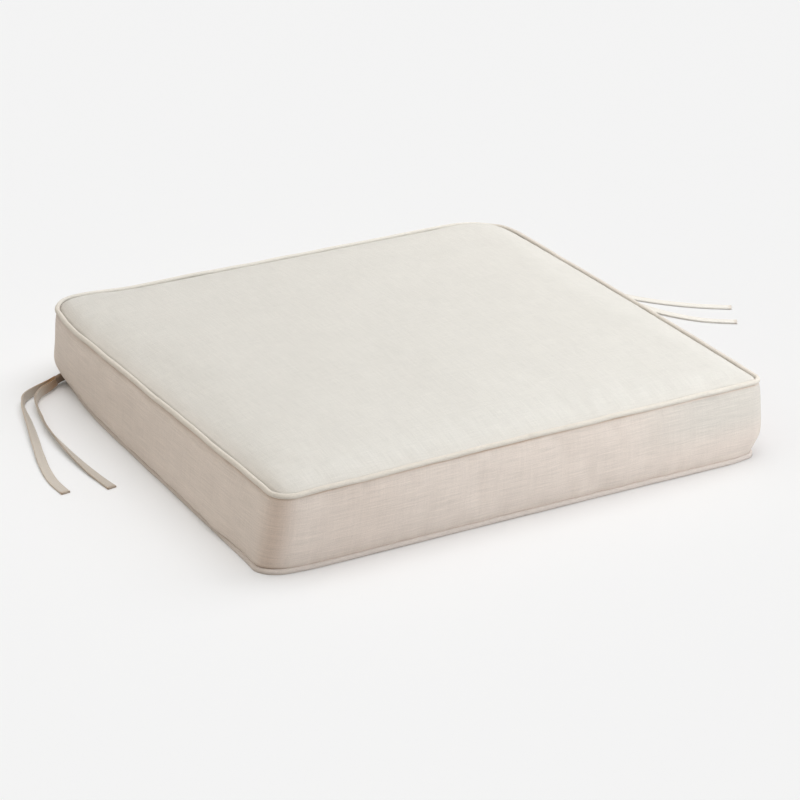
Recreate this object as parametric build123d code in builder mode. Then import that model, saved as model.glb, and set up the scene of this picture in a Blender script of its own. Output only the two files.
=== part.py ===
"""Boxed chair seat pad with piped edges, a zipped cover and two pairs of corner ties.

Millimetres. +X is to the right seen from the front, -Y is the front edge, +Z is up, and the
origin is the middle of the underside.
"""
import os
from math import radians, tan

from build123d import *

os.makedirs("parts", exist_ok=True)

# ---------------------------------------------------------------- driving dimensions
WIDTH = 508.0                # left to right, outside the piping (20 in)
DEPTH = 495.0                # front to back, outside the piping (19.5 in)
EDGE_HEIGHT = 76.0           # underside to the top of the upper piping (3 in)
CROWN = 10.0                 # rise of the top panel above the upper piping
CORNER_RADIUS = 24.0         # plan corners, outside the piping
CROWN_STEPS = (              # inset from the piping's outside, and share of the whole crown reached there
    (14.0, 0.34),
    (40.0, 0.61),
    (95.0, 0.86),
    (170.0, 1.0),
)

FABRIC = 0.9                 # woven cover cloth
PIPING_RADIUS = 2.4          # covered cord, outside
PIPING_SLEEVE = 0.7          # cloth wrapped round the filler cord
SIDE_INSET = 3.0             # boxing face behind the outside of the piping
BACK_INSET = 4.0             # zipped boxing face behind the outside of the piping
PANEL_INSET = 5.5            # edge of the top panel, just inside the piping
UNDERSIDE_INSET = 4.4        # edge of the underside panel, tucked under the piping
FILL_INSET = 6.2             # foam and wadding behind the outside of the piping
FOAM_BACK_INSET = 7.6        # foam is held off the zip's inner face
LOWER_WADDING = 4.0          # thickness of the polyester sheet under the foam
FOAM_TOP = 66.0              # upper face of the foam slab
FOAM_ROUNDING = 2.0          # upper edge of the foam slab
LAYER_GAP = 0.1              # daylight between layers that only lie on each other

BAND_END = 214.0             # the side band wraps the back corners and stops here
SEAM_LAP = 6.0               # the zipped boxing tucks behind the band by this much

ZIP_HEIGHT = 38.0            # centre line of the zip above the underside
ZIP_OPENING = 12.0           # gap between the two strips of zipped boxing
TAPE_THICKNESS = 0.6
TAPE_WIDTH = 13.0            # one half of the zip tape, past the coil
COIL_THICKNESS = 1.5
COIL_WIDTH = 2.2             # one row of the coil
COIL_GAP = 1.2               # parting line between the two rows
COIL_ROUNDING = 0.5
SLIDER_LENGTH = 11.0
SLIDER_WIDTH = 8.4
SLIDER_CORNER = 1.6
SLIDER_PLATE = 1.0
FLANGE = 0.9                 # turned-in sides of the slider's front plate
WEB_OFFSET = 4.0             # web that joins the plates, towards the closed end
WEB_LENGTH = 2.0
WEB_THICKNESS = 0.6
EAR_LENGTH = 2.2             # ears that hold the pin
EAR_THICKNESS = 0.8
EAR_SPREAD = 2.6
RUNNING_GAP = 0.3            # slider to coil and to tape
SLIDER_CLOSED_X = 190.0      # slider centre with the zip closed
STOP_START_X = 197.5         # inner face of the end stops
STOP_LENGTH = 2.5
STOP_ROUNDING = 0.3
TAPE_TAIL = 19.0             # tape past the end stops, as far as the band covers
PIN_RADIUS = 0.45
PIN_STANDOFF = 1.1           # pin centre above the slider's front plate
PULL_LENGTH = 24.0
PULL_WIDTH = 5.5
PULL_CORNER = 1.8
PULL_THICKNESS = 0.8
PULL_HOLE_RADIUS = 1.2
PULL_HOLE_INSET = 3.0        # hole's centre from the free end
EYE_RADIUS = 0.9
EYE_WIDTH = 3.6
EYE_CLEARANCE = 0.05
NECK_LENGTH = 3.0
NECK_OVERLAP = 1.0           # neck runs this far into the tongue

TIE_WIDTH = 9.0              # pressed flat
TIE_THICKNESS = 1.8          # four layers of cloth, folded and stitched
TIE_EXIT = (257.0, 224.0)    # where the loose ends leave the stitched fold
LOWER_EXIT_Z = 7.6
UPPER_EXIT_Z = 12.6
FLOOR_Z = 1.4                # middle of a strap that lies on the floor
ROOT_START = (18.6, 4.8)     # inner end of the stitched fold, from the centre of the corner's arc
ROOT_STRAIGHT = 3.0          # last stretch of the fold, in line with the loose ends

# ---------------------------------------------------------------- derived positions
BACK = DEPTH / 2
TOP_PIPING_Z = EDGE_HEIGHT - PIPING_RADIUS
BAND_LOW = 2 * PIPING_RADIUS
BAND_HIGH = EDGE_HEIGHT - 2 * PIPING_RADIUS
WHOLE_RISE = CROWN + PIPING_RADIUS
STRIP_FACE_Y = BACK - BACK_INSET
TAPE_FACE_Y = STRIP_FACE_Y - FABRIC
COIL_FACE_Y = TAPE_FACE_Y + COIL_THICKNESS
PIN_Y = COIL_FACE_Y + RUNNING_GAP + SLIDER_PLATE + PIN_STANDOFF
ROOT_LOW = BAND_LOW + 2 * LAYER_GAP


def save(part, name):
    """Label a finished piece and write its own STEP file."""
    part.label = name
    export_step(part, f"parts/{name}.step")


def plan(inset, back_inset=None):
    """Width, depth, corner radius and centre of the plan outline drawn in by an inset."""
    back = inset if back_inset is None else back_inset
    return (WIDTH - 2 * inset, DEPTH - inset - back, CORNER_RADIUS - inset, (inset - back) / 2)


# ---------------------------------------------------------------- foam and wadding
foam_w, foam_d, foam_r, foam_y = plan(FILL_INSET, FOAM_BACK_INSET)
foam_low = FABRIC + LAYER_GAP + LOWER_WADDING

with BuildPart() as foam_core:
    with BuildSketch(Plane.XY.offset(foam_low)):
        with Locations((0, foam_y)):
            RectangleRounded(foam_w, foam_d, foam_r)
    extrude(amount=FOAM_TOP - foam_low)
    fillet(foam_core.edges().group_by(Axis.Z)[-1], FOAM_ROUNDING)
save(foam_core.part, "foam_core")

with BuildPart() as lower_wadding:
    with BuildSketch(Plane.XY.offset(FABRIC + LAYER_GAP)):
        with Locations((0, foam_y)):
            RectangleRounded(foam_w, foam_d, foam_r)
    extrude(amount=LOWER_WADDING)
save(lower_wadding.part, "lower_wadding")


# The crown is a loft through plan outlines that step in and up to a flat middle.
def crown_outlines(drop=0.0, tuck=0.0):
    """Height, width, depth and corner radius of each outline, for one layer of the crown."""
    for inset, share in ((PANEL_INSET, 0.0), *CROWN_STEPS):
        wide, deep, _, _ = plan(inset + tuck)
        yield TOP_PIPING_Z + share * WHOLE_RISE - drop, wide, deep, CORNER_RADIUS - PANEL_INSET - tuck


with BuildPart() as crown_under_panel:
    for height, wide, deep, radius in crown_outlines(drop=FABRIC):
        with BuildSketch(Plane.XY.offset(height)):
            RectangleRounded(wide, deep, radius)
    loft(ruled=True)

with BuildPart() as top_panel:
    for height, wide, deep, radius in crown_outlines():
        with BuildSketch(Plane.XY.offset(height)):
            RectangleRounded(wide, deep, radius)
    loft(ruled=True)
    add(crown_under_panel.part, mode=Mode.SUBTRACT)
save(top_panel.part, "top_panel")

with BuildPart() as upper_wadding:
    for height, wide, deep, radius in crown_outlines(FABRIC + LAYER_GAP, FILL_INSET - PANEL_INSET):
        with BuildSketch(Plane.XY.offset(height)):
            RectangleRounded(wide, deep, radius)
    loft(ruled=True)
    with BuildSketch(Plane.XY.offset(FOAM_TOP + LAYER_GAP)):
        with Locations((0, foam_y)):
            RectangleRounded(foam_w, foam_d, foam_r)
    extrude(amount=TOP_PIPING_Z - FABRIC - FOAM_TOP - 2 * LAYER_GAP)
save(upper_wadding.part, "upper_wadding")

# ---------------------------------------------------------------- cover cloth
panel_w, panel_d, panel_r, _ = plan(UNDERSIDE_INSET)
with BuildPart() as bottom_panel:
    with BuildSketch():
        RectangleRounded(panel_w, panel_d, panel_r)
    extrude(amount=FABRIC)
save(bottom_panel.part, "bottom_panel")

band_w, band_d, band_r, _ = plan(SIDE_INSET)
with BuildPart() as boxing_band:
    with BuildSketch(Plane.XY.offset(BAND_LOW)):
        RectangleRounded(band_w, band_d, band_r)
        offset(amount=-FABRIC, kind=Kind.INTERSECTION, mode=Mode.SUBTRACT)
        with Locations((0, BACK)):
            Rectangle(2 * BAND_END, 4 * SIDE_INSET, mode=Mode.SUBTRACT)
    extrude(amount=BAND_HIGH - BAND_LOW)
save(boxing_band.part, "boxing_band")

strip_half = BAND_END + SEAM_LAP
for name, low, high in (
    ("zip_boxing_lower", BAND_LOW, ZIP_HEIGHT - ZIP_OPENING / 2),
    ("zip_boxing_upper", ZIP_HEIGHT + ZIP_OPENING / 2, BAND_HIGH),
):
    with BuildPart() as zip_boxing:
        with BuildSketch(Plane.XY.offset(low)):
            with Locations((0, STRIP_FACE_Y - FABRIC / 2)):
                Rectangle(2 * strip_half, FABRIC)
        extrude(amount=high - low)
    save(zip_boxing.part, name)

# ---------------------------------------------------------------- piping
piping_w, piping_d, piping_r, _ = plan(PIPING_RADIUS)
for name, height in (("top_piping", TOP_PIPING_Z), ("bottom_piping", PIPING_RADIUS)):
    with BuildLine(Plane.XY.offset(height)) as piping_path:
        Polyline(
            (-piping_w / 2, -piping_d / 2),
            (piping_w / 2, -piping_d / 2),
            (piping_w / 2, piping_d / 2),
            (-piping_w / 2, piping_d / 2),
            close=True,
        )
        fillet(piping_path.vertices(), piping_r)
    seam = Plane(origin=(0, -piping_d / 2, height), x_dir=(0, 1, 0), z_dir=(1, 0, 0))
    core_radius = PIPING_RADIUS - PIPING_SLEEVE
    for suffix, outer, inner in (
        ("sleeve", PIPING_RADIUS, core_radius),
        ("cord", core_radius - LAYER_GAP, 0.0),
    ):
        with BuildPart() as piping:
            with BuildSketch(seam):
                Circle(outer)
                if inner:
                    Circle(inner, mode=Mode.SUBTRACT)
            sweep(path=piping_path.wire())
        save(piping.part, f"{name}_{suffix}")

# ---------------------------------------------------------------- zip
tape_half = STOP_START_X + STOP_LENGTH + TAPE_TAIL
for side, name in ((-1, "lower"), (1, "upper")):
    tape_z = ZIP_HEIGHT + side * (COIL_GAP + TAPE_WIDTH) / 2
    coil_z = ZIP_HEIGHT + side * (COIL_GAP + COIL_WIDTH) / 2
    with BuildPart() as zip_tape:
        with Locations((0, TAPE_FACE_Y - TAPE_THICKNESS / 2, tape_z)):
            Box(2 * tape_half, TAPE_THICKNESS, TAPE_WIDTH)
    save(zip_tape.part, f"zip_tape_{name}")

    with BuildPart() as zip_coil:
        with Locations((0, TAPE_FACE_Y + COIL_THICKNESS / 2, coil_z)):
            Box(2 * STOP_START_X, COIL_THICKNESS, COIL_WIDTH)
        fillet(zip_coil.edges().filter_by(Axis.X).group_by(Axis.Y)[-1], COIL_ROUNDING)
    save(zip_coil.part, f"zip_coil_{name}")

stop_x = STOP_START_X + STOP_LENGTH / 2
stop_y = TAPE_FACE_Y + COIL_THICKNESS / 2
stop_spread = COIL_GAP / 2 + COIL_WIDTH / 2
with BuildPart() as zip_closed_stops:
    with Locations(*((stop_x, stop_y, ZIP_HEIGHT + side * stop_spread) for side in (-1, 1))):
        Box(STOP_LENGTH, COIL_THICKNESS, COIL_WIDTH)
    fillet(zip_closed_stops.edges().filter_by(Axis.Z), STOP_ROUNDING)
save(zip_closed_stops.part, "zip_closed_stops")

with BuildPart() as zip_open_stop:
    with Locations((-stop_x, stop_y, ZIP_HEIGHT)):
        Box(STOP_LENGTH, COIL_THICKNESS, COIL_GAP + 2 * COIL_WIDTH)
    fillet(zip_open_stop.edges().filter_by(Axis.Z), STOP_ROUNDING)
save(zip_open_stop.part, "zip_open_stop")

# Slider: two plates either side of coil and tape, joined by a web that runs between the rows.
plate_y = COIL_FACE_Y + RUNNING_GAP
back_plate_y = TAPE_FACE_Y - TAPE_THICKNESS - RUNNING_GAP
ear_top = PIN_Y + 2 * PIN_RADIUS
with BuildPart() as zip_slider:
    with BuildSketch(Plane.XZ.offset(-plate_y)):
        with Locations((SLIDER_CLOSED_X, ZIP_HEIGHT)):
            RectangleRounded(SLIDER_LENGTH, SLIDER_WIDTH, SLIDER_CORNER)
    extrude(amount=-SLIDER_PLATE)
    with BuildSketch(Plane.XZ.offset(-back_plate_y)):
        with Locations((SLIDER_CLOSED_X, ZIP_HEIGHT)):
            RectangleRounded(SLIDER_LENGTH, SLIDER_WIDTH, SLIDER_CORNER)
    extrude(amount=SLIDER_PLATE)
    with Locations((SLIDER_CLOSED_X + WEB_OFFSET, (plate_y + back_plate_y) / 2, ZIP_HEIGHT)):
        Box(WEB_LENGTH, plate_y - back_plate_y, WEB_THICKNESS)
    flange_low = TAPE_FACE_Y + RUNNING_GAP
    flange_z = SLIDER_WIDTH / 2 - FLANGE / 2
    for side in (-1, 1):
        with Locations((SLIDER_CLOSED_X, (plate_y + flange_low) / 2, ZIP_HEIGHT + side * flange_z)):
            Box(SLIDER_LENGTH - 2 * SLIDER_CORNER, plate_y - flange_low, FLANGE)
        with Locations((SLIDER_CLOSED_X, (plate_y + ear_top) / 2, ZIP_HEIGHT + side * EAR_SPREAD)):
            Box(EAR_LENGTH, ear_top - plate_y, EAR_THICKNESS)
    with BuildSketch(Plane.XY.offset(ZIP_HEIGHT - EAR_SPREAD)):
        with Locations((SLIDER_CLOSED_X, PIN_Y)):
            Circle(PIN_RADIUS)
    extrude(amount=2 * EAR_SPREAD)
save(zip_slider.part, "zip_slider")

# Pull tab: an eye on the slider's pin and a flat tongue lying along the zip.
with BuildPart() as zip_pull:
    with BuildSketch(Plane.XY.offset(ZIP_HEIGHT - EYE_WIDTH / 2)):
        with Locations((SLIDER_CLOSED_X, PIN_Y)):
            Circle(EYE_RADIUS)
        with Locations((SLIDER_CLOSED_X - NECK_LENGTH / 2, PIN_Y)):
            Rectangle(NECK_LENGTH, PULL_THICKNESS)
    extrude(amount=EYE_WIDTH)
    with BuildSketch(Plane.XZ.offset(-(PIN_Y - PULL_THICKNESS / 2))):
        with Locations((SLIDER_CLOSED_X - (PULL_LENGTH + NECK_LENGTH) / 2, ZIP_HEIGHT)):
            RectangleRounded(PULL_LENGTH - NECK_LENGTH + NECK_OVERLAP, PULL_WIDTH, PULL_CORNER)
        with Locations((SLIDER_CLOSED_X - PULL_LENGTH + PULL_HOLE_INSET, ZIP_HEIGHT)):
            Circle(PULL_HOLE_RADIUS, mode=Mode.SUBTRACT)
    extrude(amount=-PULL_THICKNESS)
    with BuildSketch(Plane.XY.offset(ZIP_HEIGHT - EYE_WIDTH)):
        with Locations((SLIDER_CLOSED_X, PIN_Y)):
            Circle(PIN_RADIUS + EYE_CLEARANCE)
    extrude(amount=2 * EYE_WIDTH, mode=Mode.SUBTRACT)
save(zip_pull.part, "zip_pull")

# ---------------------------------------------------------------- ties
# Each corner has one strap folded in half and stitched at the fold, so it has two loose ends.
# The fold stands on edge against the corner; each end drops to the floor and lies flat there.
TIE_ROUTES = {
    "left_tie_outer": (
        (-TIE_EXIT[0], TIE_EXIT[1], LOWER_EXIT_Z), (-268, 214.4, 6.6), (-283, 209, 5), (-297, 199, 3.4),
        (-304, 180, 2.2), (-309, 155, 1.2), (-316, 127, FLOOR_Z), (-324, 97, FLOOR_Z),
        (-332, 66, FLOOR_Z), (-338, 38, FLOOR_Z), (-341, 10, FLOOR_Z), (-339, -10, FLOOR_Z),
    ),
    "left_tie_inner": (
        (-TIE_EXIT[0], TIE_EXIT[1], UPPER_EXIT_Z), (-267, 215.3, 11.4), (-279, 207.5, 9.2), (-288, 194, 6.6),
        (-293.5, 176, 4), (-298, 152, 2), (-302, 126, FLOOR_Z), (-304, 98, FLOOR_Z),
        (-305, 69, FLOOR_Z), (-304.5, 40, FLOOR_Z), (-303, 10, FLOOR_Z), (-300, -16, FLOOR_Z),
    ),
    "right_tie_outer": (
        (TIE_EXIT[0], TIE_EXIT[1], LOWER_EXIT_Z), (268, 214.4, 6.6), (284, 210, 5), (303, 209, 3),
        (323, 203, 1.6), (340, 188, FLOOR_Z), (351, 167, FLOOR_Z), (361, 143, FLOOR_Z),
        (374, 120, FLOOR_Z), (392, 98, FLOOR_Z), (414, 78, FLOOR_Z), (437, 63, FLOOR_Z),
    ),
    "right_tie_inner": (
        (TIE_EXIT[0], TIE_EXIT[1], UPPER_EXIT_Z), (267, 215.3, 11.4), (281, 205, 8.6), (295, 190, 6),
        (309, 174, 3.6), (323, 159, 1.8), (336, 142, FLOOR_Z), (348, 123, FLOOR_Z),
        (358, 103, FLOOR_Z), (367, 83, FLOOR_Z), (380, 62, FLOOR_Z), (397, 42, FLOOR_Z),
        (419, 28, FLOOR_Z),
    ),
}


def bend_radii(points):
    """Radius at each corner of a route: 0.45 of the shorter run over the tangent of half the turn."""
    runs = [Vector(*b) - Vector(*a) for a, b in zip(points, points[1:])]
    return [
        0.45 * min(a.length, b.length) / tan(radians(a.get_angle(b)) / 2)
        for a, b in zip(runs, runs[1:])
    ]


for name, route in TIE_ROUTES.items():
    radii = bend_radii(route)
    with BuildLine() as tie_line:
        FilletPolyline(*route, radius=radii)
    tie_wire = tie_line.wire()
    along = tie_wire % 0
    with BuildPart() as tie:
        with BuildSketch(Plane(origin=tie_wire @ 0, x_dir=Vector(0, 0, 1).cross(along), z_dir=along)):
            Rectangle(TIE_WIDTH, TIE_THICKNESS)
        sweep(path=tie_wire)
    save(tie.part, name)
    expected = TIE_WIDTH * TIE_THICKNESS * tie_wire.length
    print(
        f"{name}: length {tie_wire.length:.1f}, tightest radius {min(radii):.1f},",
        f"volume {tie.part.volume:.0f} against section x length {expected:.0f}",
    )
    print("   radii", " ".join(f"{radius:.0f}" for radius in radii))

corner_x = WIDTH / 2 - CORNER_RADIUS
corner_y = DEPTH / 2 - CORNER_RADIUS
for side, name in ((-1, "left"), (1, "right")):
    leaving, following = (Vector(*point[:2]) for point in TIE_ROUTES[f"{name}_tie_outer"][:2])
    bend = leaving - (following - leaving).normalized() * ROOT_STRAIGHT
    with BuildPart() as tie_root:
        with BuildSketch(Plane.XY.offset(ROOT_LOW)):
            with BuildLine():
                Polyline(
                    (side * (corner_x + ROOT_START[0]), corner_y + ROOT_START[1]),
                    (bend.X, bend.Y),
                    (leaving.X, leaving.Y),
                )
            trace(line_width=2 * TIE_THICKNESS)
            with Locations((side * corner_x, corner_y)):
                Circle(CORNER_RADIUS - SIDE_INSET, mode=Mode.SUBTRACT)
        extrude(amount=TIE_WIDTH)
    save(tie_root.part, f"{name}_tie_root")
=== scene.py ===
import math

import bpy
import numpy as np
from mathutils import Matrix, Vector


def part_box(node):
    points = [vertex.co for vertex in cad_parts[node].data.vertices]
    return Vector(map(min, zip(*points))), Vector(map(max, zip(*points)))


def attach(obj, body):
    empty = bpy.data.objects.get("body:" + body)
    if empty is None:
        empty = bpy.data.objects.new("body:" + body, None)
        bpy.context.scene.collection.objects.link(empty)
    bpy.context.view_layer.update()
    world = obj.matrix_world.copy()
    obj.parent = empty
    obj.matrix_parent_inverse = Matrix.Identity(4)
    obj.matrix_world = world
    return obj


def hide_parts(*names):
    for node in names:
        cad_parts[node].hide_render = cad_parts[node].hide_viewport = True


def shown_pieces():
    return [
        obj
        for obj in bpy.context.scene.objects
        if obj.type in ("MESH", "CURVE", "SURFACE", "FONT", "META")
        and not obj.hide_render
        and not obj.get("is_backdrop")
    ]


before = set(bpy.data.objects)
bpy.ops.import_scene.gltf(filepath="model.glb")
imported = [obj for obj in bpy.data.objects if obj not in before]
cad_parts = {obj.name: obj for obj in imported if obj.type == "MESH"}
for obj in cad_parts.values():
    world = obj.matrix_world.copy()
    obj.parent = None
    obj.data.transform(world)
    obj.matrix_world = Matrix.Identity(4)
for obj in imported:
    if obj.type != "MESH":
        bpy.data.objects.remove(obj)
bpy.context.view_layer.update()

scene = bpy.context.scene

# ---------------------------------------------------------------- the pad's main sizes, in metres
MM = 0.001
HALF_X, HALF_Y = 0.254, 0.2475
CORNER_RADII = (0.012, 0.026, 0.028, 0.022)    # front right, back right, back left, front left
PIPING_RADIUS = 0.0024
TOP_SEAM_Z = 0.0736
BOTTOM_SEAM_Z = 0.0019
CLOTH = 0.0009              # thickness of the cover's cloth
BAND_END_X = 0.214          # the band's two ends, on the back
STRIP_END_X = 0.220         # the zip boxing's ends, under the band's
STRIP_FACE_Y = 0.2435
ZIP_Z = 0.038
TAPE_FACE_Y = 0.2426
TIE_WIDTH, TIE_THICKNESS = 0.009, 0.0018

# ---------------------------------------------------------------- camera
CAMERA_PLACE = (-1.14945, -2.08003, 1.07134)
CAMERA_AZIMUTH, CAMERA_ELEVATION = math.radians(-29.089), math.radians(23.973)
CAMERA_LENS = 123.44

back = Vector((
    math.sin(CAMERA_AZIMUTH) * math.cos(CAMERA_ELEVATION),
    -math.cos(CAMERA_AZIMUTH) * math.cos(CAMERA_ELEVATION),
    math.sin(CAMERA_ELEVATION),
))
camera = bpy.data.objects.new("Camera", bpy.data.cameras.new("Camera"))
scene.collection.objects.link(camera)
camera.data.lens = CAMERA_LENS
camera.data.sensor_width = 36
camera.data.clip_start, camera.data.clip_end = 0.05, 60
camera.location = CAMERA_PLACE
camera.rotation_mode = "QUATERNION"
camera.rotation_quaternion = (-back).to_track_quat("-Z", "Y")
scene.camera = camera
scene.view_settings.view_transform = "Standard"


# ---------------------------------------------------------------- smooth noise and small tools
def lattice(ix, iy, seed):
    """A fixed value from -1 to 1 for each whole (ix, iy)."""
    value = np.sin(ix * 127.1 + iy * 311.7 + seed * 74.7) * 43758.5453
    return 2 * (value - np.floor(value)) - 1


def ripple(x, y, cell, seed):
    """Smooth noise from -1 to 1 that changes over about one cell."""
    x, y = np.broadcast_arrays(np.asarray(x, float) / cell, np.asarray(y, float) / cell)
    ix, iy = np.floor(x), np.floor(y)
    fx, fy = x - ix, y - iy
    fx = fx**3 * (fx * (6 * fx - 15) + 10)
    fy = fy**3 * (fy * (6 * fy - 15) + 10)
    low = lattice(ix, iy, seed) * (1 - fx) + lattice(ix + 1, iy, seed) * fx
    high = lattice(ix, iy + 1, seed) * (1 - fx) + lattice(ix + 1, iy + 1, seed) * fx
    return low * (1 - fy) + high * fy


def smooth(t):
    """0 below 0, 1 above 1, and a soft step between."""
    t = np.clip(t, 0, 1)
    return t * t * (3 - 2 * t)


def bell(distance, width):
    """1 at no distance, falling to about a third at one width."""
    return np.exp(-((distance / width) ** 2))


def length_along(line):
    """Distance along a line of points, at each of them."""
    return np.concatenate([[0], np.cumsum(np.linalg.norm(np.diff(line, axis=0), axis=1))])


def unit(vectors):
    return vectors / np.linalg.norm(vectors, axis=-1, keepdims=True)


# ---------------------------------------------------------------- plan outline, along the piping
ARC_POINTS = 41
SEARCH_POINTS = 4001


def outline_table():
    """Arc length, place and outward normal along the line of the piping, from the front's middle."""
    half_x, half_y = HALF_X - PIPING_RADIUS, HALF_Y - PIPING_RADIUS
    points, normals = [(0.0, -half_y)], [(0.0, -1.0)]
    corners = ((1, -1, -90), (1, 1, 0), (-1, 1, 90), (-1, -1, 180))
    for (sx, sy, start), radius in zip(corners, CORNER_RADII):
        r = radius - PIPING_RADIUS
        for angle in np.radians(start + np.linspace(0, 90, ARC_POINTS)):
            normal = (math.cos(angle), math.sin(angle))
            points.append((sx * (half_x - r) + r * normal[0], sy * (half_y - r) + r * normal[1]))
            normals.append(normal)
    points.append(points[0])
    normals.append(normals[0])
    points = np.array(points)
    return length_along(points), points, np.array(normals)


OUTLINE_S, OUTLINE_P, OUTLINE_N = outline_table()
PERIMETER = OUTLINE_S[-1]


def outline(s):
    """Place and outward normal at arc lengths s."""
    s = np.mod(s, PERIMETER)
    place = np.stack([np.interp(s, OUTLINE_S, OUTLINE_P[:, i]) for i in (0, 1)], -1)
    normal = np.stack([np.interp(s, OUTLINE_S, OUTLINE_N[:, i]) for i in (0, 1)], -1)
    return place, unit(normal)


def s_of(x, y):
    """Arc length of the outline point nearest to a place."""
    s = np.linspace(0, PERIMETER, SEARCH_POINTS)
    return s[np.argmin(np.linalg.norm(outline(s)[0] - np.array([x, y]), axis=-1))]


# ---------------------------------------------------------------- the pad's own unevenness
# How far each seam of this pad is pushed out of true, in mm. Corners, from the front left and round by the
# right, are given as (x, y, z); half-way along the front, right, back and left sides, as (outwards, up).
OUT_OF_TRUE = {
    "top": (((6.2, -3.4, -0.1), (-2.2, 2.7, 0.5), (1.4, 0.0, 0.3), (-1.0, 0.2, 0.5)),
            ((-0.5, 0.9), (1.6, 1.0), (0.0, 0.0), (-0.4, 0.2))),
    "bottom": (((-4.1, 0.4, 0.0), (0.0, -2.4, 0.0), (0.0, 0.0, 0.0), (2.0, 0.0, 0.0)),
               ((-1.4, 0.0), (0.0, 0.0), (0.0, 0.0), (0.0, 0.0))),
}
# Single places pushed in or lifted: place, seam height, shift in mm, reach along the pad and in height.
SQUASHED = (
    ((-HALF_X, HALF_Y), BOTTOM_SEAM_Z, (10.3, -6.0, 0.0), 0.080, 0.026),
    ((HALF_X, -HALF_Y), BOTTOM_SEAM_Z, (-8.0, 3.5, 0.0), 0.026, 0.026),
    ((-HALF_X, -HALF_Y), BOTTOM_SEAM_Z, (-1.0, 6.0, 0.0), 0.030, 0.040),
    ((-HALF_X, HALF_Y), TOP_SEAM_Z, (8.5, 1.0, 0.0), 0.048, 0.075),
    ((HALF_X, HALF_Y), TOP_SEAM_Z, (-3.0, -6.0, -4.2), 0.030, 0.075),
    ((-0.212, HALF_Y), TOP_SEAM_Z, (0.0, 0.0, 2.3), 0.032, 0.075),
)


def seam_shift(seam, x, y):
    """Shift of a seam, drawn in over the whole plan, in metres."""
    corners, sides = OUT_OF_TRUE[seam]
    u, v = np.clip(x / HALF_X, -1, 1), np.clip(y / HALF_Y, -1, 1)
    shift = np.zeros((len(x), 3))
    for (cu, cv), amount in zip(((-1, -1), (1, -1), (1, 1), (-1, 1)), corners):
        shift += ((1 + cu * u) * (1 + cv * v) / 4)[:, None] * np.array(amount)
    for (du, dv), (out, rise) in zip(((0, -1), (1, 0), (0, 1), (-1, 0)), sides):
        along, across = (u, dv * v) if dv else (v, du * u)
        weight = (1 - along**2) * smooth((1 + across) / 2) ** 2
        shift += weight[:, None] * np.array((out * du, out * dv, rise))
    return shift * MM


def settle(p):
    """Moves points of any layer the way this pad is pushed out of true."""
    p = np.array(p, float)
    x, y, z = p[:, 0].copy(), p[:, 1].copy(), p[:, 2].copy()
    up = np.clip((z - BOTTOM_SEAM_Z) / (TOP_SEAM_Z - BOTTOM_SEAM_Z), 0, 1)[:, None]
    p += seam_shift("top", x, y) * up + seam_shift("bottom", x, y) * (1 - up)
    for (cx, cy), height, shift, reach, fade in SQUASHED:
        pull = bell(np.hypot(x - cx, y - cy), reach) * smooth(1 - np.abs(z - height) / fade) * MM
        p += pull[:, None] * np.array(shift)
    return p


# ---------------------------------------------------------------- mesh helpers
def mesh_piece(name, points, faces, cloth, material, settled=True):
    """A smooth-shaded mesh on the cushion. cloth holds the cloth's own (u, v) at each point and how much
    shade is painted there; at the ties' tips, how worn they are.
    """
    points = settle(points) if settled else np.asarray(points, float)
    mesh = bpy.data.meshes.new(name)
    mesh.from_pydata(points.tolist(), [], [list(map(int, f)) for f in faces])
    mesh.shade_smooth()
    attribute = mesh.attributes.new("cloth", "FLOAT_VECTOR", "POINT")
    attribute.data.foreach_set("vector", np.asarray(cloth, np.float32).ravel())
    mesh.materials.append(material)
    obj = bpy.data.objects.new(name, mesh)
    scene.collection.objects.link(obj)
    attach(obj, "cushion")
    return obj


def flat_grid(columns, rows):
    """The two coordinates of every point of a grid, row by row."""
    across, up = np.meshgrid(columns, rows)
    return across.ravel(), up.ravel()


def strip_faces(rows, cols, close_rows=False, close_cols=False, flip=False):
    """Quads of a grid whose points are numbered row by row."""
    r = np.arange(rows if close_rows else rows - 1)
    c = np.arange(cols if close_cols else cols - 1)
    r, c = np.meshgrid(r, c, indexing="ij")
    r2, c2 = (r + 1) % rows, (c + 1) % cols
    quad = np.stack([r * cols + c, r * cols + c2, r2 * cols + c2, r2 * cols + c], -1).reshape(-1, 4)
    return quad[:, ::-1] if flip else quad


def tube(centres, radius, sides, closed=False, bumps=None):
    """Points, faces and (along, round, 0) of a round tube along centres. bumps scales its radius."""
    centres = np.asarray(centres, float)
    n = len(centres)
    if closed:
        tangent = unit(np.roll(centres, -1, 0) - np.roll(centres, 1, 0))
    else:
        tangent = unit(np.gradient(centres, axis=0))
    side = unit(np.cross(tangent, (0, 0, 1.0)))
    up = np.cross(side, tangent)
    angle = np.linspace(0, 2 * np.pi, sides, endpoint=False)
    along = length_along(centres)
    size = np.full((n, sides), radius) if bumps is None else radius * bumps(along[:, None], angle[None, :])
    points = (
        centres[:, None]
        + size[..., None] * np.cos(angle)[None, :, None] * side[:, None]
        + size[..., None] * np.sin(angle)[None, :, None] * up[:, None]
    )
    faces = strip_faces(n, sides, close_rows=closed, close_cols=True, flip=True).tolist()
    if not closed:
        faces.append(list(range(sides)))
        faces.append(list(range((n - 1) * sides, n * sides))[::-1])
    around = np.broadcast_to(angle * radius, (n, sides))
    cloth = np.stack([np.broadcast_to(along[:, None], (n, sides)), around, np.zeros((n, sides))], -1)
    return points.reshape(-1, 3), faces, cloth.reshape(-1, 3)


def joined(parts):
    """Several (points, faces, cloth) as one."""
    points, faces, cloth, base = [], [], [], 0
    for p, f, c in parts:
        points.append(p)
        cloth.append(c)
        faces += [[i + base for i in face] for face in f]
        base += len(p)
    return np.concatenate(points), faces, np.concatenate(cloth)


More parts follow.
